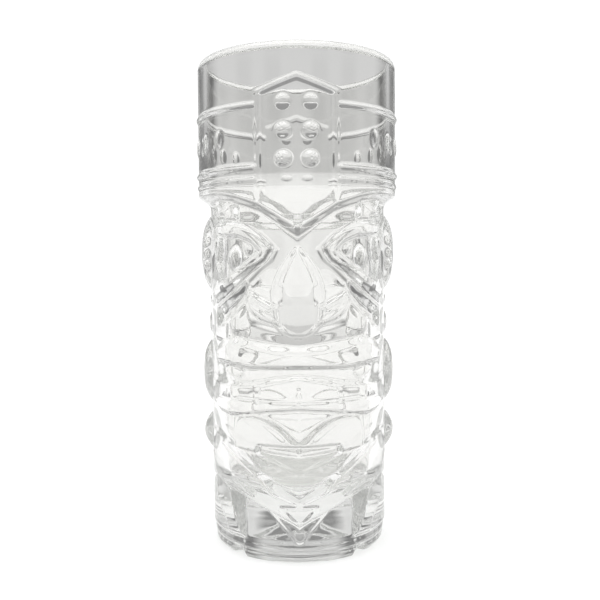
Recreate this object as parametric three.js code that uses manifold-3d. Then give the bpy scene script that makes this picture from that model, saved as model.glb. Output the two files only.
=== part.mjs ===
// A tiki tumbler of clear pressed glass: one moulding with an open drinking cavity.
// Millimetres, +Z up, standing on z = 0. The face looks along -Y and repeats on the back.
import * as THREE from "three";
import { mergeVertices } from "three/addons/utils/BufferGeometryUtils.js";
import Module from "manifold-3d";

const wasm = await Module();
wasm.setup();

// Driving dimensions
const HEIGHT = 168;
const RIM_RADIUS = 35; // plain wall of the hat, outside
const WALL = 3; // glass thickness at the hat
const BODY_RADIUS = 30.8; // plain wall of the body, outside
const FOOT_RADIUS = 30.2;
const BASE_RADIUS = 28.6; // flat that the glass stands on
const HAT_BOTTOM = 121.6;
const FOOT_TOP = 6.6;
const CAVITY_RADIUS = 27.2; // at the top of the body
const CAVITY_FLOOR_RADIUS = 25.8;
const CAVITY_FLOOR = 21;
const LIP_ROUNDING = 1.5;
const BEAD = 0.75; // how far the hat's rings stand proud
const SEGMENTS = 36; // facets round the glass
const ROOTED = 1; // depth that every relief reaches into the wall
const DOME_ROOT = 3; // depth of a side dome's widest section below the plain wall
const REACH = 45; // half length of a cutter, past the glass on both sides

// Relief above the body's plain wall
const LINE = 0.7; // thin drawn ridges
const PLATE = 0.9; // arms and legs
const RAISED = 1.4; // details that stand on a plate
const LIP = 1.4;
const EYE_FRAME = 2.1;
const BROW = 3.8;
const WINDOW_DEPTH = 4.7; // at the top of the sloped windows, none at their foot

// Helpers

// A closed three.js geometry as a solid that can be joined and cut.
function solidOf(geometry) {
  const bare = geometry.clone();
  bare.deleteAttribute("normal");
  bare.deleteAttribute("uv");
  const merged = mergeVertices(bare, 1e-4);
  const kept = [];
  const index = merged.index.array;
  for (let i = 0; i < index.length; i += 3) {
    const [a, b, c] = index.slice(i, i + 3);
    if (a !== b && b !== c && c !== a) kept.push(a, b, c);
  }
  return new wasm.Manifold(
    new wasm.Mesh({
      numProp: 3,
      vertProperties: new Float32Array(merged.attributes.position.array),
      triVerts: new Uint32Array(kept),
    }),
  );
}

function joined(solids) {
  return solids.reduce((sum, solid) => sum.add(solid));
}

// A solid of revolution about Z. The profile is a list of [radius, z], anticlockwise.
function revolved(profile) {
  const points = profile.map(([radius, z]) => new THREE.Vector2(radius, z));
  const geometry = new THREE.LatheGeometry(points, SEGMENTS);
  geometry.rotateX(Math.PI / 2);
  return solidOf(geometry);
}

// A ring from inside the wall out to the given outer profile, a list of [radius, z] going up.
function ring(inner, outer) {
  const bottom = outer[0][1];
  const top = outer[outer.length - 1][1];
  return revolved([[inner, bottom], ...outer, [inner, top], [inner, bottom]]);
}

// A plain ring standing the given height above the body's wall.
function bodyRing(relief, bottom = 0, top = HAT_BOTTOM) {
  const radius = BODY_RADIUS + relief;
  return ring(BODY_RADIUS - ROOTED, [[radius, bottom], [radius, top]]);
}

// A flat shape whose outline runs anticlockwise and whose hole runs clockwise.
function shapeOf(outline, hole) {
  const turned = (points, clockwise) => {
    const path = points.map(([x, z]) => new THREE.Vector2(x, z));
    return THREE.ShapeUtils.isClockWise(path) === clockwise ? path : path.reverse();
  };
  const shape = new THREE.Shape(turned(outline, false));
  if (hole) shape.holes.push(new THREE.Path(turned(hole, true)));
  return shape;
}

// An [x, z] outline pushed right through the glass from front to back.
function throughFront(outline, hole) {
  const settings = { depth: 2 * REACH, bevelEnabled: false };
  const geometry = new THREE.ExtrudeGeometry(shapeOf(outline, hole), settings);
  geometry.rotateX(Math.PI / 2);
  geometry.translate(0, REACH, 0);
  return solidOf(geometry);
}

// A [y, z] outline pushed right through the glass from side to side.
function throughSide(outline, hole) {
  const settings = { depth: 2 * REACH, bevelEnabled: false };
  const geometry = new THREE.ExtrudeGeometry(shapeOf(outline, hole), settings);
  geometry.rotateX(Math.PI / 2);
  geometry.rotateZ(Math.PI / 2);
  geometry.translate(-REACH, 0, 0);
  return solidOf(geometry);
}

const flipped = (outline) => outline.map(([x, z]) => [-x, z]);

// A whole outline from its right half, which runs from the top middle to the bottom middle.
function mirrored(half) {
  const inside = half.filter(([x]) => x > 0);
  return [...half, ...flipped(inside).reverse()];
}

// The same outline on the right and on the left of the face.
function pair(outline, hole) {
  const left = throughFront(flipped(outline), hole && flipped(hole));
  return throughFront(outline, hole).add(left);
}

// A smooth line through a few [x, z] points.
function smooth(points, steps) {
  const curve = new THREE.SplineCurve(points.map(([x, z]) => new THREE.Vector2(x, z)));
  return curve.getPoints(steps).map((point) => [point.x, point.y]);
}

// The outline of a strip of even width along a line.
function strip(line, width) {
  const left = [];
  const right = [];
  line.forEach(([x, z], i) => {
    const before = line[Math.max(i - 1, 0)];
    const after = line[Math.min(i + 1, line.length - 1)];
    const along = new THREE.Vector2(after[0] - before[0], after[1] - before[1]).normalize();
    const across = along.multiplyScalar(width / 2);
    left.push([x - across.y, z + across.x]);
    right.push([x + across.y, z - across.x]);
  });
  return [...left, ...right.reverse()];
}

// An oval boss on the wall, at an angle in degrees from the front, with its middle at the radius.
function boss(angle, z, radius, halfWidth, halfHeight, proud) {
  const geometry = new THREE.SphereGeometry(1, 8, 4);
  geometry.scale(halfWidth, proud, halfHeight);
  geometry.translate(0, -radius, z);
  geometry.rotateZ(THREE.MathUtils.degToRad(angle));
  return solidOf(geometry);
}

// A wide low dome on the body's wall, at an angle in degrees from the front.
function dome(angle, z, halfWidth, halfHeight, proud) {
  const geometry = new THREE.SphereGeometry(1, 16, 10);
  geometry.scale(halfWidth, proud + DOME_ROOT, halfHeight);
  geometry.translate(0, DOME_ROOT - BODY_RADIUS, z);
  geometry.rotateZ(THREE.MathUtils.degToRad(angle));
  return solidOf(geometry);
}

// The same boss at the mirrored angles, on the front and on the back.
function fourBosses(angle, ...size) {
  return joined([angle, -angle, 180 - angle, 180 + angle].map((turn) => boss(turn, ...size)));
}

// One of the hat's rings, which its plain wall carries.
function bead(z, halfHeight) {
  return [[RIM_RADIUS, z - halfHeight], [RIM_RADIUS + BEAD, z], [RIM_RADIUS, z + halfHeight]];
}

// The plain outside of the glass as a full solid, with the hat's rings and its rounded lip.
function outside() {
  return revolved([
    [0, 0],
    [BASE_RADIUS, 0],
    [FOOT_RADIUS, 3],
    [FOOT_RADIUS, FOOT_TOP],
    [BODY_RADIUS, FOOT_TOP + 0.8],
    [BODY_RADIUS, 118],
    [BODY_RADIUS + 2.1, 120.2],
    [RIM_RADIUS, HAT_BOTTOM],
    ...bead(124.6, 0.9),
    ...bead(128.5, 1.1),
    ...bead(148.2, 1.1),
    [RIM_RADIUS, HEIGHT - LIP_ROUNDING],
    [RIM_RADIUS - 0.6 * LIP_ROUNDING, HEIGHT],
    [0, HEIGHT],
  ]);
}

// The drinking cavity: wide in the hat, narrower in the body, with a rounded floor.
function cavity() {
  const inner = RIM_RADIUS - WALL;
  return revolved([
    [0, CAVITY_FLOOR],
    [CAVITY_FLOOR_RADIUS - 5, CAVITY_FLOOR + 0.8],
    [CAVITY_FLOOR_RADIUS, CAVITY_FLOOR + 6],
    [CAVITY_RADIUS, 108],
    [CAVITY_RADIUS + 2, 115],
    [inner, 124],
    [inner, HEIGHT - LIP_ROUNDING],
    [inner + 0.6 * LIP_ROUNDING, HEIGHT],
    [inner + 0.6 * LIP_ROUNDING, HEIGHT + 1],
    [0, HEIGHT + 1],
  ]);
}

// Hat: a house-shaped plaque with a raised border and six studs, between the rings.
const PLAQUE = mirrored([[0, 157.6], [13.3, 152.6], [13.3, 118.5], [0, 118.5]]);
const PANEL = mirrored([[0, 155.5], [11.4, 151.5], [11.4, 121], [0, 121]]);

function plaque() {
  const radius = RIM_RADIUS + 1.1;
  return throughFront(PLAQUE).intersect(ring(RIM_RADIUS - 2, [[radius, 117], [radius, 160]]));
}

function panelRecess() {
  const face = RIM_RADIUS + 0.3;
  return throughFront(PANEL).intersect(ring(face, [[REACH, 119], [REACH, 160]]));
}

function studs() {
  const angle = 7;
  const rows = [148.6, 139.7, 130.8];
  return joined(rows.map((z) => fourBosses(angle, z, RIM_RADIUS, 2.75, 2.75, 1.3)));
}

function sideBosses() {
  const spacing = 14.5;
  const angles = [90 - 3 * spacing, 90 - 2 * spacing, 90 - spacing];
  const rows = angles.map((angle) => fourBosses(angle, 138.5, RIM_RADIUS, 1.9, 3, 0.7));
  const ends = [90, -90].map((angle) => boss(angle, 138.5, RIM_RADIUS, 1.9, 3, 0.7));
  return joined([...rows, ...ends]);
}

// Brow: the hat's front edge comes down in a V, with a narrower ledge under it.
const BROW_TOP = mirrored([
  [0, 122.5], [30, 122.5], [27.5, 120.2], [20.9, 118.3], [13.8, 116.2], [7, 112.9], [0, 108],
]);
const BROW_LEDGE = mirrored([
  [0, 120], [29, 120], [19.9, 117], [12.9, 114.4], [6.1, 110.8], [0, 106.2],
]);

function brow() {
  const top = throughFront(BROW_TOP).intersect(bodyRing(BROW, 100, 123));
  const ledge = throughFront(BROW_LEDGE).intersect(bodyRing(BROW - 1.8, 100, 121));
  return top.add(ledge);
}

function templeBlocks() {
  const block = [[20, 112], [24.4, 112], [24.4, 114.4], [27.4, 114.4], [27.4, 119], [20, 118.5]];
  return pair(block).intersect(bodyRing(BROW - 2.4, 110, 120));
}

// Eyes: a three-cornered frame round a sunk socket, with an eyeball and a small bump.
const EYE = [
  [8.5, 103], [17, 109.8], [24, 112.2], [28.4, 112.4], [29.2, 100], [28.9, 88], [27.8, 85],
  [21.9, 90.4], [15.5, 96.1], [10.8, 99.2],
];
const SOCKET = [
  [13, 102], [15.6, 105.2], [20.2, 107.2], [26.4, 107.1], [27.1, 99], [25.9, 91], [18.1, 96.4],
];

function eyeFrames() {
  return pair(EYE, SOCKET).intersect(bodyRing(EYE_FRAME, 80, 115));
}

function sockets() {
  const floor = BODY_RADIUS - 0.6;
  return pair(SOCKET).intersect(ring(floor, [[REACH, 88], [REACH, 110]]));
}

function eyes() {
  const ball = fourBosses(46, 100.6, BODY_RADIUS - 0.6, 3.2, 4.9, 2.2);
  const bump = fourBosses(33, 102.4, BODY_RADIUS - 0.6, 1.7, 2.2, 1.4);
  return ball.add(bump);
}

// Nose: a pear outline with a pointed top, on a curved ridge, with a leaf-shaped wing at each side.
function nose() {
  const side = smooth([[0.4, 102.6], [3.6, 99], [7.5, 92.4], [8.1, 84], [4.6, 76.3], [0.4, 74.4]], 8);
  const outline = mirrored([[0, 102.9], ...side, [0, 74.2]]);
  const ridge = ring(BODY_RADIUS - ROOTED, [
    [31.6, 74], [33.8, 78], [34.7, 86], [33.8, 93], [31.2, 103],
  ]);
  return throughFront(outline).intersect(ridge);
}

function noseWings() {
  const leaf = smooth([[7, 90.6], [11.5, 91.2], [16.4, 88], [13.8, 80.8], [7, 79.6]], 7);
  return pair(leaf).intersect(bodyRing(RAISED, 78, 93));
}

// Mouth and jaw: two full lips, a stitched groove under them and the ridges of the muzzle.
const UPPER_LIP = mirrored([
  [0, 70.5], [7.5, 70.4], [14.4, 71.6], [21.2, 72.8], [25, 70.6], [27.6, 65.4], [21.7, 64.4],
  [15.6, 63.9], [0, 64.2],
]);
const JAW = mirrored([
  [0, 61.3], [7.6, 60.2], [14.7, 58.8], [23.4, 57.9], [27.6, 58.6], [28.4, 54], [27.4, 48.6],
  [23.4, 47.7], [17.5, 48.4], [10.5, 49.8], [0, 50.6],
]);

function mouth() {
  const upper = throughFront(UPPER_LIP).intersect(
    ring(BODY_RADIUS - ROOTED, [
      [BODY_RADIUS + LIP - 0.2, 63], [BODY_RADIUS + LIP, 67], [BODY_RADIUS + 0.4, 74],
    ]),
  );
  const lower = throughFront(JAW).intersect(
    ring(BODY_RADIUS - ROOTED, [
      [BODY_RADIUS + 0.8, 47], [BODY_RADIUS + LIP - 0.2, 57], [BODY_RADIUS + 0.8, 62],
    ]),
  );
  return upper.add(lower);
}

function stitches() {
  const groove = throughFront(strip([[-26, 53.2], [26, 53.2]], 0.9));
  const ticks = [0, 13, -13, 22.6, -22.6].map((x) => throughFront(strip([[x, 53], [x, 56.8]], 0.9)));
  const depth = ring(BODY_RADIUS + 0.6, [[REACH, 50], [REACH, 60]]);
  return joined([groove, ...ticks]).intersect(depth);
}

function muzzleLines() {
  const cheek = smooth([[20.4, 85.4], [23.1, 80.8], [23.8, 77.6], [23.6, 72.6]], 4);
  const lipLine = smooth([[0, 73], [8.3, 76.9], [15, 78.2], [19.3, 76.4], [21, 72.4]], 6);
  return pair(strip(cheek, 1.3)).add(pair(strip(lipLine, 1.3))).intersect(bodyRing(LINE, 70, 88));
}

// Belly: heart-shaped chest lobes, a sunk plate, chevrons, a triangle, hands and legs.
function chest() {
  const lobe = smooth([[0, 39.6], [4.6, 43.6], [9.8, 46.6], [15.4, 47.4], [19.8, 45.4], [20.6, 40.6]], 8);
  return pair(strip(lobe, 1.6)).intersect(bodyRing(LINE, 38, 50));
}

function bellyPlate() {
  const plate = mirrored([[0, 38.3], [13.3, 38.6], [14.3, 35.4], [0, 29.8]]);
  return throughFront(plate).intersect(ring(BODY_RADIUS - 0.9, [[REACH, 28], [REACH, 40]]));
}

const ARMS = mirrored([
  [0, 22], [8, 26.1], [15.2, 32.2], [21.2, 37.4], [26.4, 40.4], [29.4, 41.4], [30, 30], [28.4, 25.6],
  [22.8, 22], [12.8, 17.6], [4, 10.3], [0, 5.9],
]);
const TRIANGLE = mirrored([[0, 18.8], [6.2, 18.8], [0, 11]]);
const TRIANGLE_HOLE = mirrored([[0, 17.5], [3.9, 17.5], [0, 12.6]]);
const HAND = [[11.9, 20.6], [16, 21], [22.6, 25], [22, 27.6], [16, 25.6]];

function arms() {
  return throughFront(ARMS).intersect(bodyRing(PLATE, 0, 43));
}

function armDetails() {
  const triangle = throughFront(TRIANGLE, TRIANGLE_HOLE);
  const half = [[25.6, 37.8], [15.2, 29.9], [8, 23.6], [0, 19.8]];
  const chevron = strip([...half, ...flipped(half.slice(0, -1)).reverse()], 1.4);
  return joined([triangle, pair(HAND), throughFront(chevron)]).intersect(bodyRing(RAISED, 8, 42));
}

function legs() {
  const leg = [[18, FOOT_TOP], [24.2, FOOT_TOP], [25, 10.6], [28.6, 17.6], [28.8, 26], [22.9, 22.4]];
  return pair(leg).intersect(bodyRing(PLATE, 5, 27));
}

// Windows: sunk facets between the arms and the legs, which slope back towards their top.
function windows() {
  const window = [[-0.6, 7], [-0.6, 12], [12.6, 17.8], [22.6, 22], [21.2, 15], [18.2, 7.4], [18.2, 7]];
  const slope = revolved([
    [BODY_RADIUS, 6.8], [REACH, 6.8], [REACH, 22.5], [BODY_RADIUS - WINDOW_DEPTH, 22.5], [BODY_RADIUS, 6.8],
  ]);
  return pair(window).intersect(slope);
}

// Foot: a pad at the front and at the back reaches the table, one at each side stays clear of it.
function feet() {
  const front = throughFront(mirrored([[0, FOOT_TOP], [19.4, FOOT_TOP], [19.4, 1.4], [17.6, 0], [0, 0]]));
  const side = throughSide(mirrored([[0, FOOT_TOP], [19, FOOT_TOP], [19, 2.2], [0, 2.2]]));
  const ledge = ring(BASE_RADIUS - ROOTED, [
    [BASE_RADIUS + 0.6, 0], [BODY_RADIUS + 0.5, 3], [BODY_RADIUS + 0.5, FOOT_TOP],
  ]);
  return front.add(side).intersect(ledge);
}

// Sides: an ear, a cheek scroll, an oval and a round disc, each a low dome.
function sidePlates() {
  const plates = [[102, 10.8, 13.6, 3.5], [77.2, 6.4, 4.8, 1.2], [60, 8.8, 11.6, 3.3], [38.4, 7, 7, 3.4]];
  const domes = plates.flatMap(([z, halfWidth, halfHeight, proud]) =>
    [90, -90].map((angle) => dome(angle, z, halfWidth, halfHeight, proud)),
  );
  return joined(domes);
}

function glassBody() {
  const wall = joined([outside(), plaque(), brow(), templeBlocks()]);
  const recesses = joined([panelRecess(), sockets(), bellyPlate(), windows()]);
  const lips = mouth().subtract(stitches());
  const face = joined([eyeFrames(), eyes(), nose(), noseWings(), lips, muzzleLines()]);
  const belly = joined([chest(), arms(), armDetails(), legs(), feet()]);
  const details = joined([studs(), sideBosses(), face, belly, sidePlates()]);
  return wall.subtract(recesses).add(details).subtract(cavity());
}

function geometryOf(solid) {
  const mesh = solid.getMesh();
  const geometry = new THREE.BufferGeometry();
  geometry.setAttribute("position", new THREE.BufferAttribute(mesh.vertProperties, 3));
  geometry.setIndex(new THREE.BufferAttribute(mesh.triVerts, 1));
  geometry.computeVertexNormals();
  return geometry;
}

const glass = new THREE.MeshStandardMaterial({
  color: 0xeef1f2, roughness: 0.04, metalness: 0, transparent: true, opacity: 0.35,
});

const body = new THREE.Mesh(geometryOf(glassBody()), glass);
body.name = "glass_body";

const group = new THREE.Group();
group.add(body);

export default group;
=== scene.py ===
# Clear pressed-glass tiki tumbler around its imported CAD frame.
import math

import bpy
import numpy as np
from mathutils import Matrix, Vector

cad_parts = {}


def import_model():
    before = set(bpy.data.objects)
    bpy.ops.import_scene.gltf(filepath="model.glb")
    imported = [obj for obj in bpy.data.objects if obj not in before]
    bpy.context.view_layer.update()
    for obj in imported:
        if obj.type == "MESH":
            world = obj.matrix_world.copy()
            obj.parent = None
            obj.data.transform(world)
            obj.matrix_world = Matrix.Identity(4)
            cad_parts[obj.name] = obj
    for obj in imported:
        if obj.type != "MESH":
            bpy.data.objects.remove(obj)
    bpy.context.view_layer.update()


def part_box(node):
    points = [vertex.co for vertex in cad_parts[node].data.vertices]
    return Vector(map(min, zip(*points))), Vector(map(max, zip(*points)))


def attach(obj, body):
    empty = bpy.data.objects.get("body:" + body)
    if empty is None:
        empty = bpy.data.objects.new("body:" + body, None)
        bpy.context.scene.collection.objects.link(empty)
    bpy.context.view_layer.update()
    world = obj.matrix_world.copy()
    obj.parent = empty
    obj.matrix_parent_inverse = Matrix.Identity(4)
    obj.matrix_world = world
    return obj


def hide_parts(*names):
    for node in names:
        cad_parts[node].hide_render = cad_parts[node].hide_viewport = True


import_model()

MM = 0.001

# Driving dimensions of the glass, in millimetres. The height is the frame's own
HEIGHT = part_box("glass_body")[1][2] / MM
RIM_RADIUS = 35.0
WALL = 3.0
BODY_RADIUS = 30.8
HAT_BOTTOM = 121.8
LIP = 2.4  # height of the rounded rim
LIP_START = HEIGHT - LIP
LIP_BEAD = 0.12  # how far the rim stands into the cavity
CAVITY_FLOOR = 21.0

# Mesh of the outer wall: columns round the glass, a multiple of 4, and the rows' spacing in height
COLUMNS = 480
ROW = 0.4
POLISH = 1  # passes of the blur that rounds every edge, as fire polishing does
ROUNDNESS = 0.7  # how full the domes are: 0.5 is a half ball, 1 a flatter bowl


# ---------------------------------------------------------------- relief on the unrolled wall
# A quarter of the wall is worked out, from the face's middle to the side. The rest mirrors it.
# Points are (x, z) as seen from the front. On the wall, x becomes the arc from the face's middle.

def rise(t):
    """A smooth step from 0 to 1."""
    t = np.clip(t, 0, 1)
    return t * t * (3 - 2 * t)


def smooth_line(points, steps=6):
    """A Catmull-Rom line through a few points."""
    ends = [points[0]] + list(points) + [points[-1]]
    line = []
    for corner in zip(ends[:-3], ends[1:-2], ends[2:-1], ends[3:]):
        for i in range(steps):
            t = i / steps
            line.append(tuple(
                0.5 * (2 * q + (r - p) * t + (2 * p - 5 * q + 4 * r - s) * t * t
                       + (3 * q - p - 3 * r + s) * t ** 3)
                for p, q, r, s in zip(*corner)))
    line.append(tuple(points[-1]))
    return line


def mirrored(half):
    """A whole outline from its right half, which runs from the top middle to the bottom middle."""
    return half + [(-x, z) for x, z in reversed(half) if x > 0]


def divided(points, longest=1.5):
    """The same line with its long stretches divided, so that it bends with the wall."""
    fine = []
    for (x0, z0), (x1, z1) in zip(points[:-1], points[1:]):
        steps = max(1, int(math.hypot(x1 - x0, z1 - z0) / longest))
        fine += [(x0 + (x1 - x0) * i / steps, z0 + (z1 - z0) * i / steps) for i in range(steps)]
    return fine + [points[-1]]


def line_distance(s, z, line):
    """Distance from each point of the wall to a line."""
    nearest = np.full(s.shape, np.inf)
    for (s0, z0), (s1, z1) in zip(line[:-1], line[1:]):
        ds, dz = s1 - s0, z1 - z0
        t = np.clip(((s - s0) * ds + (z - z0) * dz) / (ds * ds + dz * dz + 1e-9), 0, 1)
        nearest = np.minimum(nearest, (s - s0 - t * ds) ** 2 + (z - z0 - t * dz) ** 2)
    return np.sqrt(nearest)


def blend_max(a, b, fillet=0.35):
    """The larger of two heights, with a fillet where they meet."""
    h = np.clip(0.5 + 0.5 * (b - a) / fillet, 0, 1)
    return a + (b - a) * h + 0.5 * fillet * h * (1 - h)


class Relief:
    """Heights above the plain wall over the quarter, and cuts into it, worked up feature by feature."""

    def __init__(self, angle, z, radius):
        self.radius = radius
        self.s = radius * angle
        self.x = radius * np.sin(angle)
        self.z = z
        self.height = np.zeros(z.shape)
        self.cut = np.zeros(z.shape)

    def arc(self, x):
        return self.radius * math.asin(max(-1.0, min(1.0, x / self.radius)))

    def unrolled(self, points):
        return [(self.arc(x), z) for x, z in divided(points)]

    def inside(self, outline):
        """Distance to a closed outline, positive inside it."""
        closed = self.unrolled(list(outline) + [outline[0]])
        within = np.zeros(self.s.shape, bool)
        for (s0, z0), (s1, z1) in zip(closed[:-1], closed[1:]):
            if z0 != z1:
                crosses = (z0 > self.z) != (z1 > self.z)
                within ^= crosses & (self.s < (s1 - s0) * (self.z - z0) / (z1 - z0) + s0)
        away = line_distance(self.s, self.z, closed)
        return np.where(within, away, -away)

    def plate(self, outline, height, edge):
        """Raises an area to a height, with a soft edge of the given width."""
        self.height = blend_max(self.height, height * rise(self.inside(outline) / edge + 0.5))

    def sink(self, outline, depth, edge):
        """Lowers an area by a depth, with a soft edge."""
        self.cut = self.cut + depth * rise(self.inside(outline) / edge + 0.5)

    def swell(self, outline, height, width):
        """Raises an area with a round section, which reaches its height at width inside the outline."""
        t = np.clip(self.inside(outline) / width, 0, 1)
        self.height = blend_max(self.height, height * (1 - (1 - t) ** 2))

    def line(self, points, height, width):
        """Adds a thin rounded line, or cuts it where the height is negative."""
        t = np.clip(2 * line_distance(self.s, self.z, self.unrolled(points)) / width, 0, 1)
        self.height = self.height + height * (1 - t * t) ** 2

    def dome(self, x, z, half_width, half_height, height, above=None):
        """Adds a rounded button. Its half height may differ above its middle."""
        half = np.where(self.z > z, above or half_height, half_height)
        q = ((self.s - self.arc(x)) / half_width) ** 2 + ((self.z - z) / half) ** 2
        self.height = self.height + height * np.clip(1 - q, 0, 1) ** ROUNDNESS


# ---------------------------------------------------------------- hat
PLAQUE = mirrored([(0, 157.6), (13.3, 152.5), (13.3, 116.6), (0, 112.0)])
PANEL = mirrored([(0, 155.5), (11.4, 151.3), (11.4, 112.0), (0, 108.0)])
STUD_ROWS = (148.6, 139.7, 130.8)
STUD_RADIUS = 2.5
STUD_OFFSET = 4.35  # from the plaque's middle line
STUD_RISE = 0.9
BEADS = ((148.2, 0.7, 0.75), (128.4, 0.8, 0.75), (124.6, 0.6, 0.6))  # height, rise, half width
BOSS_HEIGHT = 138.5
BOSS_HALF_WIDTH = 1.9
BOSS_HALF_HEIGHT = 3.0
BOSS_RISE = 0.7
BOSS_SPACING = 14.5  # degrees
BROW = mirrored([
    (0, 130), (40, 130), (34, 120.2), (27.5, 119.4), (20.9, 117.4), (13.8, 114.8), (7, 110.6), (0, 106.2)])
BROW_SLOPE = 2.3


def hat_relief(angle, z):
    """Beads, bosses, and the plaque with its six studs."""
    hat = Relief(angle, z, RIM_RADIUS)
    beside_plaque = 1 - rise(hat.inside(PLAQUE) / 0.5 + 0.5)
    for middle, height, half in BEADS:
        hat.height = hat.height + height * np.exp(-((z - middle) / half) ** 2) * beside_plaque
    hat.plate(PLAQUE, 0.5, 0.8)
    hat.sink(PANEL, 0.35, 0.5)
    for row in STUD_ROWS:
        hat.dome(STUD_OFFSET, row, STUD_RADIUS, STUD_RADIUS, STUD_RISE)
    for i in range(4):
        side = RIM_RADIUS * math.radians(90 - BOSS_SPACING * i)
        q = ((hat.s - side) / BOSS_HALF_WIDTH) ** 2 + ((z - BOSS_HEIGHT) / BOSS_HALF_HEIGHT) ** 2
        hat.height = hat.height + BOSS_RISE * np.clip(1 - q, 0, 1) ** ROUNDNESS
    return hat.height - hat.cut


def with_brow(radius, angle, z):
    """The hat's front hangs over the face to a V between the eyes, and its edge slopes back evenly."""
    brow = Relief(angle, z, RIM_RADIUS)
    front = np.interp(z, [105, 112, 119, HAT_BOTTOM], [33.0, 33.9, 34.8, RIM_RADIUS])
    return radius + (front - radius) * np.clip(brow.inside(BROW) / BROW_SLOPE, 0, 1)


# ---------------------------------------------------------------- face
EYE = smooth_line([(8.6, 103), (12.4, 106.6), (17, 109.6), (22, 111.6), (26.6, 112.4), (29.0, 110)], 3) + [
    (29.8, 100), (29.6, 90), (28.2, 85.4), (21.9, 90.4), (15.5, 96.0), (10.8, 99.2)]
SOCKET = [
    (12.6, 102), (15.6, 105.2), (20.2, 107.2), (26.2, 107.2), (27.2, 99), (26.2, 92.2), (18.1, 97.8)]
SOCKET_DEPTH = 1.9
OUTER_CORNER = 24.2  # distance from the middle beyond which the socket goes deeper
OUTER_DEEPENING = 1.4
TEMPLE = [(20, 112.6), (24.4, 112.6), (24.4, 114.6), (27.8, 114.6), (27.8, 119.5), (20, 118.5)]
HOLLOW = [(17, 90.2), (21.8, 86.4), (27.4, 81.6), (26.8, 78), (22.6, 80.5), (18.6, 85.5)]
CHEEK = [(17.4, 92.0), (28.4, 83.0), (28.8, 72.6), (24, 71.6), (23.8, 77.6), (22.6, 81.8), (19.6, 85.6)]

# The nose's half width and how far it stands out, by height
NOSE_WIDTH = smooth_line([
    (74.2, 0.6), (74.8, 3.5), (76.6, 6.0), (79.2, 7.4), (83, 8.0), (87, 8.4), (91, 8.1), (95, 6.4),
    (99, 3.8), (102.6, 0.5)])
NOSE_HEIGHT = smooth_line([
    (74.4, 0.9), (77, 2.0), (81, 2.9), (87, 3.5), (93, 3.1), (98, 2.0), (102.6, 0.9)])
WING = smooth_line([
    (6, 83.8), (8.6, 84.8), (11.8, 86.6), (15.9, 88.3), (16.2, 85.8), (14.4, 82.3), (11.1, 79.7),
    (6, 78.2)], 3)
WING_GROOVE = smooth_line([(15.6, 87.4), (13.6, 84.8), (11.5, 83.1), (7.2, 80.3)], 3)
MUZZLE = mirrored([
    (0, 93), (14, 91.5), (19.6, 86.2), (22.0, 82), (22.8, 77.8), (21.6, 75.0), (14.7, 74.7), (8, 73.6),
    (0, 71.9)])
MUZZLE_BEVEL = ((0, 3.4), (8, 5.0), (15, 6.4), (20, 3.0))  # width of its edge, by distance from the middle
UPPER_LIP = mirrored([
    (0, 70.4), (7.5, 70.4), (14.4, 71.5), (21.2, 72.8), (25.2, 71.8), (28.2, 68.4), (26.9, 65.0),
    (21.7, 64.4), (15.6, 63.9), (0, 64.2)])
MOUTH_CORNER = smooth_line([
    (19.0, 62.0), (21.5, 64.2), (25.5, 64.6), (27.6, 62.6), (26.5, 60.0), (22.5, 59.0),
    (19.0, 62.0)], 3)[:-1]
JAW = mirrored([
    (0, 61.0), (7.6, 60.2), (14.7, 58.8), (23.4, 57.9), (27.8, 58.8), (29.6, 60), (29.6, 53.6), (27.4, 48.8),
    (23.4, 47.7), (17.5, 48.4), (10.5, 49.8), (0, 50.6)])
STITCH_HEIGHT = 53.2
STITCHES = (0, 13, 22.6)


def eyes(body):
    """A rounded triangular frame round a socket, deepest at its outer side, with the eyeball in it.

    The cheek is raised below it, with a hollow along the frame's lower edge, and the temple above it."""
    body.plate(CHEEK, 0.7, 2.0)
    body.plate(EYE, 1.1, 2.4)
    body.sink(HOLLOW, 1.8, 3.4)
    outer = np.clip((body.x - OUTER_CORNER) / 2.2, 0, 1)
    body.sink(SOCKET, SOCKET_DEPTH + OUTER_DEEPENING * outer, 0.8)
    body.dome(21.8, 100.0, 2.9, 4.8, 2.6, above=3.7)
    body.dome(17.0, 102.4, 1.5, 1.6, 0.9)
    body.plate(TEMPLE, 1.3, 0.9)


def nose(body):
    """A pear-shaped bulb with a pointed top, and a grooved wing like a leaf on each side."""
    body.height = body.height + 0.9 * rise(body.inside(WING) / 1.2 + 0.5)
    body.line(WING_GROOVE, -0.5, 1.6)
    half = np.interp(body.z, *zip(*NOSE_WIDTH), left=0.1, right=0.1)
    top = np.interp(body.z, *zip(*NOSE_HEIGHT), left=0, right=0)
    body.height = body.height + top * (1 - np.clip(body.x / half, 0, 1) ** 2.6)


def mouth(body):
    """Muzzle, lips, the hollows at the corners, and the stitched jaw."""
    body.plate(MUZZLE, 1.6 * rise((93 - body.z) / 10), np.interp(body.x, *zip(*MUZZLE_BEVEL)))
    body.plate(UPPER_LIP, 1.8, np.interp(body.z, [64, 70], [1.4, 4.0]))
    body.plate(JAW, 1.3, np.interp(body.z, [50, 58], [1.4, 2.6]))
    body.sink(MOUTH_CORNER, 1.6, 2.6)
    body.line([(-27, STITCH_HEIGHT), (27, STITCH_HEIGHT)], -0.3, 1.2)
    for x in STITCHES:
        body.line([(x, STITCH_HEIGHT - 0.4), (x, STITCH_HEIGHT + 3.8)], -0.35, 1.2)


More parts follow.
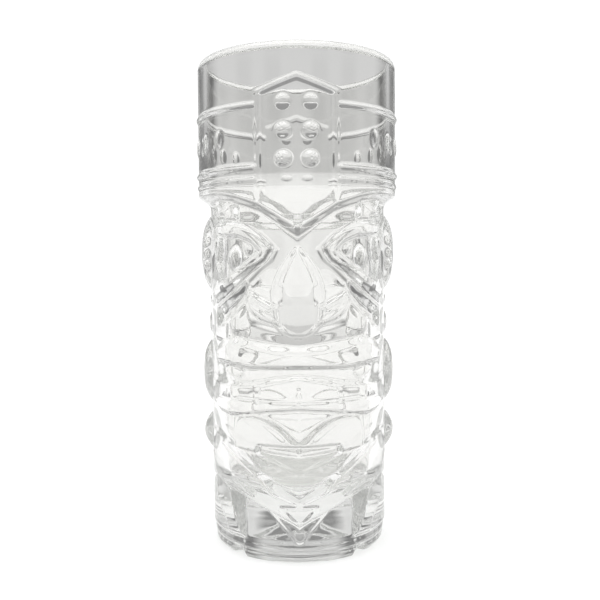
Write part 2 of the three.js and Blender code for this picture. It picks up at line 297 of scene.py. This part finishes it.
# ---------------------------------------------------------------- body
PEC = smooth_line([
    (0, 38.6), (2.6, 41.0), (5.2, 43.6), (9.8, 46.5), (15.6, 47.9), (20.0, 46.8), (21.2, 42)], 3) + [
    (21.2, 37), (0, 35)]
BELLY = mirrored([(0, 38.3), (13.3, 38.6), (14.3, 35.4), (0, 29.8)])
ARMS = mirrored([
    (0, 22), (8, 26.1), (15.2, 32.2), (21.2, 37.4), (26.4, 40.4), (29.6, 41.4), (30.2, 32), (28.6, 25.6),
    (22.8, 22), (12.8, 17.6), (4, 10.3), (0, 5.9)])
CHEVRON = [(25.6, 37.8), (15.2, 29.9), (8, 23.6), (0, 19.8)]
TRIANGLE = [(0, 18.6), (6.0, 18.6), (0, 11.4), (-6.0, 18.6), (0, 18.6)]
HAND = [(11.9, 20.6), (16, 21), (22.6, 25), (22, 27.6), (16, 25.6)]
LEG = [(18.2, 7.4), (24.2, 7.4), (25, 10.6), (28.6, 17.6), (28.8, 26), (22.9, 22.4)]
WINDOW = [(-0.6, 6.8), (-0.6, 12), (12.6, 17.8), (22.6, 22), (21.2, 15), (18.2, 7.4), (18.2, 6.8)]
FOOT = mirrored([(0, 6.6), (19.2, 6.6), (19.2, -4), (0, -4)])
TOES = (21.6, 24.2, 26.6, 28.6)
FOOT_TOP = 6.8
WINDOW_SLOPE = 6.4 / 15  # how much deeper the windows get for each millimetre up from the foot
NOTCH = (38.5, 50)  # degrees round from the face's middle, between the front foot and the side one
NOTCH_TOP = 3.6
NOTCH_DEPTH = 2.4


def chest(body):
    """The two sides of the chest, and the belly's sunk panel, which slopes in towards its top."""
    body.plate(PEC, 1.4, 2.2)
    body.sink(BELLY, 0.6 + 2.2 * np.clip((body.z - 30) / 9, 0, 1), 0.8)


def arms(body):
    """The arms come down to a V, with the belt's line, the buckle's triangle and the hands on them."""
    body.plate(ARMS, 1.1, 1.4)
    body.line(CHEVRON, 0.5, 2.0)
    body.line(TRIANGLE, 0.7, 1.5)
    body.swell(HAND, 1.6, 1.8)


def legs(body):
    """Legs, the sloped windows between them and the V, and the feet."""
    body.plate(LEG, 1.0, 1.1)
    body.sink(WINDOW, np.clip(body.z - FOOT_TOP, 0, 15) * WINDOW_SLOPE, 1.6)
    body.plate(FOOT, 0.8, 0.9)
    for toe in TOES:
        body.line([(toe, -2), (toe, 5.6)], -0.6, 1.3)
    turn = np.degrees(body.s / body.radius)
    between = rise((turn - NOTCH[0]) / 2) * rise((NOTCH[1] - turn) / 2)
    body.cut = body.cut + NOTCH_DEPTH * between * rise((NOTCH_TOP - body.z) / NOTCH_TOP)


# Side plates: middle height, half width, half height, how far it stands out, how flat its top is
SIDE_PLATES = (
    (102.0, 10.8, 13.6, 3.5, 3.2), (85.4, 5.0, 2.4, 0.8, 2.0), (77.2, 6.4, 4.8, 1.2, 2.0),
    (60.0, 8.8, 11.6, 3.3, 3.3), (38.4, 7.0, 7.0, 3.4, 2.0))
EAR_BEADS = (97.6, 101.8, 106.0)


def side_plates(body):
    """Ear, cheek scroll, oval and disc, domed about the side's middle line, and the beads before the ear."""
    across = body.s - body.radius * math.pi / 2
    side = np.zeros(across.shape)
    for middle, half_width, half_height, height, flatness in SIDE_PLATES:
        q = np.sqrt((across / half_width) ** 2 + ((body.z - middle) / half_height) ** 2)
        side = np.maximum(side, height * np.clip(1 - q ** flatness, 0, 1))
    for middle in EAR_BEADS:
        q = ((across + 7.6) / 1.5) ** 2 + ((body.z - middle) / 1.7) ** 2
        side = side + 0.8 * np.clip(1 - q, 0, 1) ** ROUNDNESS
    body.height = blend_max(body.height, side)


# ---------------------------------------------------------------- the glass
# Plain wall outside and inside, as (height, radius)
WALL_PROFILE = [
    (0, 28.6), (0.5, 29.3), (1.2, 29.8), (2.2, 29.9), (2.9, 29.5), (3.6, 30.1), (5.0, 30.3), (6.2, 29.9),
    (7.0, BODY_RADIUS), (117.5, BODY_RADIUS), (118.6, 31.2),
    (119.6, 32.2), (120.4, 33.6), (121.0, 34.6), (HAT_BOTTOM, RIM_RADIUS), (LIP_START, RIM_RADIUS)]
CAVITY_PROFILE = smooth_line([
    (CAVITY_FLOOR - 0.1, 0.5), (CAVITY_FLOOR, 9), (21.1, 16), (21.7, 20.4), (23.4, 23.8), (26.4, 25.4),
    (31, 25.9), (60, 26.5), (106, 27.2), (111, 27.7), (115.4, 29.2), (120.6, 31.2), (124, 31.9),
    (130, 32.0), (150, 32.0), (LIP_START - 0.7, 32.0), (LIP_START, 32.0 - LIP_BEAD)])


def softened(field, passes):
    """The field after a small blur along both directions, mirrored past the quarter's edges."""
    for _ in range(passes):
        wide = np.pad(field, ((1, 1), (1, 1)), mode="reflect")
        field = (wide[:-2, 1:-1] + 2 * wide[1:-1, 1:-1] + wide[2:, 1:-1]) / 4
        wide = np.pad(field, ((1, 1), (1, 1)), mode="reflect")
        field = (wide[1:-1, :-2] + 2 * wide[1:-1, 1:-1] + wide[1:-1, 2:]) / 4
    return field


def outer_radius(angle, z):
    """Radius of the outer wall at each angle from the face's middle and each height, for a quarter."""
    body = Relief(angle, z, BODY_RADIUS + 0.8)
    for feature in (eyes, mouth, nose, chest, arms, legs, side_plates):
        feature(body)
    radius = np.interp(z, *zip(*WALL_PROFILE)) + (body.height - body.cut) * rise((119.8 - z) / 2)
    radius = with_brow(radius, angle, z)
    radius = radius + hat_relief(angle, z) * rise((z - 116) / 6)
    return softened(radius, POLISH)


def lip(steps=10):
    """Points of the rounded rim, as (radius, height), from outside to inside."""
    half = (WALL + LIP_BEAD) / 2
    turns = [math.pi * i / steps for i in range(1, steps)]
    return [(RIM_RADIUS - half + half * math.cos(t), LIP_START + LIP * math.sin(t)) for t in turns]


def glass_rings():
    """Rings of (radius, height) from the base's middle up the outside, over the rim and down the cavity."""
    angle = np.linspace(0, math.pi / 2, COLUMNS // 4 + 1)
    heights = np.linspace(0, LIP_START, round(LIP_START / ROW) + 1)
    quarter = outer_radius(*np.meshgrid(angle, heights, indexing="ij"))
    wall = np.concatenate([quarter, quarter[-2::-1], quarter[1:], quarter[-2:0:-1]])
    rings = [(wall[:, 0] * inset, 0.0) for inset in (0.35, 0.7, 0.9)]
    rings += [(wall[:, row], height) for row, height in enumerate(heights)]
    inside = lip() + [(r, h) for h, r in reversed(CAVITY_PROFILE)]
    return rings + [(np.full(COLUMNS, r), h) for r, h in inside]


def glass_mesh():
    """The closed mesh through the rings, ending in fans of triangles at the base and the cavity's floor."""
    rings = glass_rings()
    turn = np.arange(COLUMNS) * 2 * math.pi / COLUMNS
    points = [np.array([[0.0, 0.0, 0.0]])]
    for r, h in rings:
        points.append(np.stack([r * np.sin(turn), -r * np.cos(turn), np.full(COLUMNS, h)], 1))
    points.append(np.array([[0.0, 0.0, CAVITY_PROFILE[0][0]]]))
    first = np.arange(COLUMNS)
    after = (first + 1) % COLUMNS
    faces = []
    for k in range(len(rings) - 1):
        low, high = 1 + k * COLUMNS, 1 + (k + 1) * COLUMNS
        faces += np.stack([low + first, low + after, high + after, high + first], 1).tolist()
    top = 1 + (len(rings) - 1) * COLUMNS
    end = top + COLUMNS
    faces += [(0, 1 + b, 1 + a) for a, b in zip(first.tolist(), after.tolist())]
    faces += [(end, top + a, top + b) for a, b in zip(first.tolist(), after.tolist())]
    mesh = bpy.data.meshes.new("tiki_glass")
    mesh.from_pydata((np.concatenate(points) * MM).tolist(), [], faces)
    mesh.polygons.foreach_set("use_smooth", np.ones(len(mesh.polygons), bool))
    mesh.update()
    return mesh


def math_node(nodes, links, operation, *values):
    """A sum on numbers or on other nodes' outputs."""
    node = nodes.new("ShaderNodeMath")
    node.operation = operation
    for socket, value in zip(node.inputs, values):
        if isinstance(value, (int, float)):
            socket.default_value = value
        else:
            links.new(value, socket)
    return node.outputs["Value"]


def noise(nodes, links, place, scale, detail):
    """A noise from 0 to 1 with its own number of waves per metre along each axis."""
    stretch = nodes.new("ShaderNodeMapping")
    stretch.inputs["Scale"].default_value = scale
    links.new(place, stretch.inputs["Vector"])
    texture = nodes.new("ShaderNodeTexNoise")
    texture.inputs["Scale"].default_value = 1.0
    texture.inputs["Detail"].default_value = detail
    links.new(stretch.outputs["Vector"], texture.inputs["Vector"])
    return texture.outputs["Fac"]


def clear_glass():
    """Clear glass, faintly warm, wavy from the mould, with streaks in its tint and its polish.

    Light that casts its shadow passes it as a pale filter."""
    material = bpy.data.materials.new("clear_glass")
    material.use_nodes = True
    nodes, links = material.node_tree.nodes, material.node_tree.links
    shader = nodes["Principled BSDF"]
    shader.inputs["IOR"].default_value = 1.5
    shader.inputs["Transmission Weight"].default_value = 1.0
    place = nodes.new("ShaderNodeTexCoord")
    streaks = noise(nodes, links, place.outputs["Object"], (30, 30, 12), 2)
    tint = nodes.new("ShaderNodeMix")
    tint.data_type = "RGBA"
    links.new(streaks, tint.inputs["Factor"])
    tint.inputs["A"].default_value = (0.885, 0.885, 0.872, 1)
    tint.inputs["B"].default_value = (0.9, 0.898, 0.89, 1)
    links.new(tint.outputs["Result"], shader.inputs["Base Color"])
    links.new(math_node(nodes, links, "MULTIPLY", streaks, 0.012), shader.inputs["Roughness"])
    waves = nodes.new("ShaderNodeBump")
    waves.inputs["Distance"].default_value = 0.00012
    waves.inputs["Strength"].default_value = 0.6
    links.new(noise(nodes, links, place.outputs["Object"], (90, 90, 45), 1), waves.inputs["Height"])
    links.new(waves.outputs["Normal"], shader.inputs["Normal"])
    through = nodes.new("ShaderNodeBsdfTransparent")
    through.inputs["Color"].default_value = (0.94, 0.945, 0.94, 1)
    ray = nodes.new("ShaderNodeLightPath")
    mix = nodes.new("ShaderNodeMixShader")
    links.new(ray.outputs["Is Shadow Ray"], mix.inputs["Fac"])
    links.new(shader.outputs["BSDF"], mix.inputs[1])
    links.new(through.outputs["BSDF"], mix.inputs[2])
    links.new(mix.outputs["Shader"], nodes["Material Output"].inputs["Surface"])
    depth = nodes.new("ShaderNodeVolumeAbsorption")
    depth.inputs["Color"].default_value = (0.4, 0.42, 0.39, 1)
    depth.inputs["Density"].default_value = 3.0
    links.new(depth.outputs["Volume"], nodes["Material Output"].inputs["Volume"])
    return material


def glass():
    piece = bpy.data.objects.new("tiki_glass", glass_mesh())
    bpy.context.scene.collection.objects.link(piece)
    piece.data.materials.append(clear_glass())
    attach(piece, "root")
    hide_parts("glass_body")


# ---------------------------------------------------------------- studio
FLOOR = -0.0003  # a film of air is left under the foot, as under any glass on a table
FLOOR_SIZE = 6.0
BOUNCES = 64
EYE_DISTANCE = 0.2762
EYE_HEIGHT = 0.0959
PITCH = 0.04
YAW = math.radians(0.15)
ROLL = math.radians(-0.43)

# Brightness of the studio by the height of the ray: the sine of its elevation, from 0 to 1
BACKDROP = (
    (0.0, 1.05), (0.119, 1.0), (0.123, 0.74), (0.29, 0.7), (0.33, 0.3), (0.5, 0.3), (0.57, 0.85),
    (1.0, 1.05))
GAP = ((0.0, 0.25), (0.25, 0.18), (0.31, 0.85), (1.0, 1.05))
BETWEEN = ((0.0, 0.45), (0.05, 0.22), (0.12, 0.22), (0.17, 0.55), (0.31, 0.8), (1.0, 1.05))
# Where each of them stands in a bay: half the cosine of four times the azimuth, plus a half
TO_GAP = ((0.56, 0.0), (0.76, 1.0))
TO_BETWEEN = ((0.02, 0.0), (0.14, 1.0))


def floor():
    corners = [(x * FLOOR_SIZE, y * FLOOR_SIZE, FLOOR) for x, y in ((-1, -1), (1, -1), (1, 1), (-1, 1))]
    mesh = bpy.data.meshes.new("floor")
    mesh.from_pydata(corners, [], [(0, 1, 2, 3)])
    piece = bpy.data.objects.new("floor", mesh)
    bpy.context.scene.collection.objects.link(piece)
    material = bpy.data.materials.new("pale_floor")
    material.use_nodes = True
    shader = material.node_tree.nodes["Principled BSDF"]
    shader.inputs["Base Color"].default_value = (0.92, 0.92, 0.92, 1)
    shader.inputs["Roughness"].default_value = 0.9
    piece.data.materials.append(material)


def grey_ramp(nodes, links, source, stops):
    """A brightness that depends on a number, through a few (position, brightness) stops."""
    ramp = nodes.new("ShaderNodeValToRGB")
    elements = ramp.color_ramp.elements
    while len(elements) < len(stops):
        elements.new(0.5)
    for element, (where, value) in zip(elements, stops):
        element.position = where
        element.color = (value, value, value, 1)
    links.new(source, ramp.inputs["Fac"])
    return ramp.outputs["Color"]


def mixed(nodes, links, factor, first, second):
    """One colour turning into another as the factor goes from 0 to 1. The second may be a constant."""
    mix = nodes.new("ShaderNodeMix")
    mix.data_type = "RGBA"
    links.new(factor, mix.inputs["Factor"])
    links.new(first, mix.inputs["A"])
    if isinstance(second, tuple):
        mix.inputs["B"].default_value = second
    else:
        links.new(second, mix.inputs["B"])
    return mix.outputs["Result"]


def world():
    """The studio that the glass shows: four bays, each a white sweep with a grey backdrop and a dark band.

    Dark cards stand at each bay's sides, and the top is bright. Rays straight from the camera see
    plain white instead."""
    sky = bpy.data.worlds.new("studio")
    bpy.context.scene.world = sky
    sky.use_nodes = True
    nodes, links = sky.node_tree.nodes, sky.node_tree.links
    place = nodes.new("ShaderNodeTexCoord")
    split = nodes.new("ShaderNodeSeparateXYZ")
    links.new(place.outputs["Generated"], split.inputs["Vector"])
    backdrop = grey_ramp(nodes, links, split.outputs["Z"], BACKDROP)
    gap = grey_ramp(nodes, links, split.outputs["Z"], GAP)
    between = grey_ramp(nodes, links, split.outputs["Z"], BETWEEN)
    azimuth = math_node(nodes, links, "ARCTAN2", split.outputs["X"], split.outputs["Y"])
    bays = math_node(nodes, links, "COSINE", math_node(nodes, links, "MULTIPLY", azimuth, 4.0))
    place_in_bay = math_node(nodes, links, "MULTIPLY_ADD", bays, 0.5, 0.5)
    sides = mixed(nodes, links, grey_ramp(nodes, links, place_in_bay, TO_BETWEEN), between, gap)
    walls = mixed(nodes, links, grey_ramp(nodes, links, place_in_bay, TO_GAP), sides, backdrop)
    ray = nodes.new("ShaderNodeLightPath")
    seen = mixed(nodes, links, ray.outputs["Is Camera Ray"], walls, (1.1, 1.1, 1.1, 1))
    links.new(seen, nodes["Background"].inputs["Color"])


def soft_sun(name, direction, angle, strength):
    """A broad, even light from one direction, which no ray through the glass sees."""
    data = bpy.data.lights.new(name, "SUN")
    data.angle = math.radians(angle)
    data.energy = strength
    lamp = bpy.data.objects.new(name, data)
    lamp.rotation_euler = Vector(direction).to_track_quat("-Z", "Y").to_euler()
    lamp.visible_transmission = False
    bpy.context.scene.collection.objects.link(lamp)


def camera():
    """A little above the middle of the glass, close in front of it, looking slightly down."""
    data = bpy.data.cameras.new("camera")
    data.sensor_width = 36
    data.lens = 45.8
    data.clip_start = 0.01
    eye = bpy.data.objects.new("camera", data)
    turn = Matrix.Rotation(-YAW, 4, "Z") @ Matrix.Rotation(math.pi / 2 - PITCH, 4, "X")
    place = Matrix.Translation((0, -EYE_DISTANCE, EYE_HEIGHT))
    eye.matrix_world = place @ turn @ Matrix.Rotation(ROLL, 4, "Z")
    bpy.context.scene.collection.objects.link(eye)
    bpy.context.scene.camera = eye


def settings():
    """Light is followed through many bounces, as much of it runs along inside the thick glass."""
    scene = bpy.context.scene
    scene.view_settings.view_transform = "Standard"
    scene.cycles.max_bounces = BOUNCES
    scene.cycles.transmission_bounces = BOUNCES
    scene.cycles.glossy_bounces = BOUNCES
    scene.cycles.use_denoising = True


glass()
floor()
world()
soft_sun("overhead", (0.1, 0.15, -1), 60, 1.4)
camera()
settings()
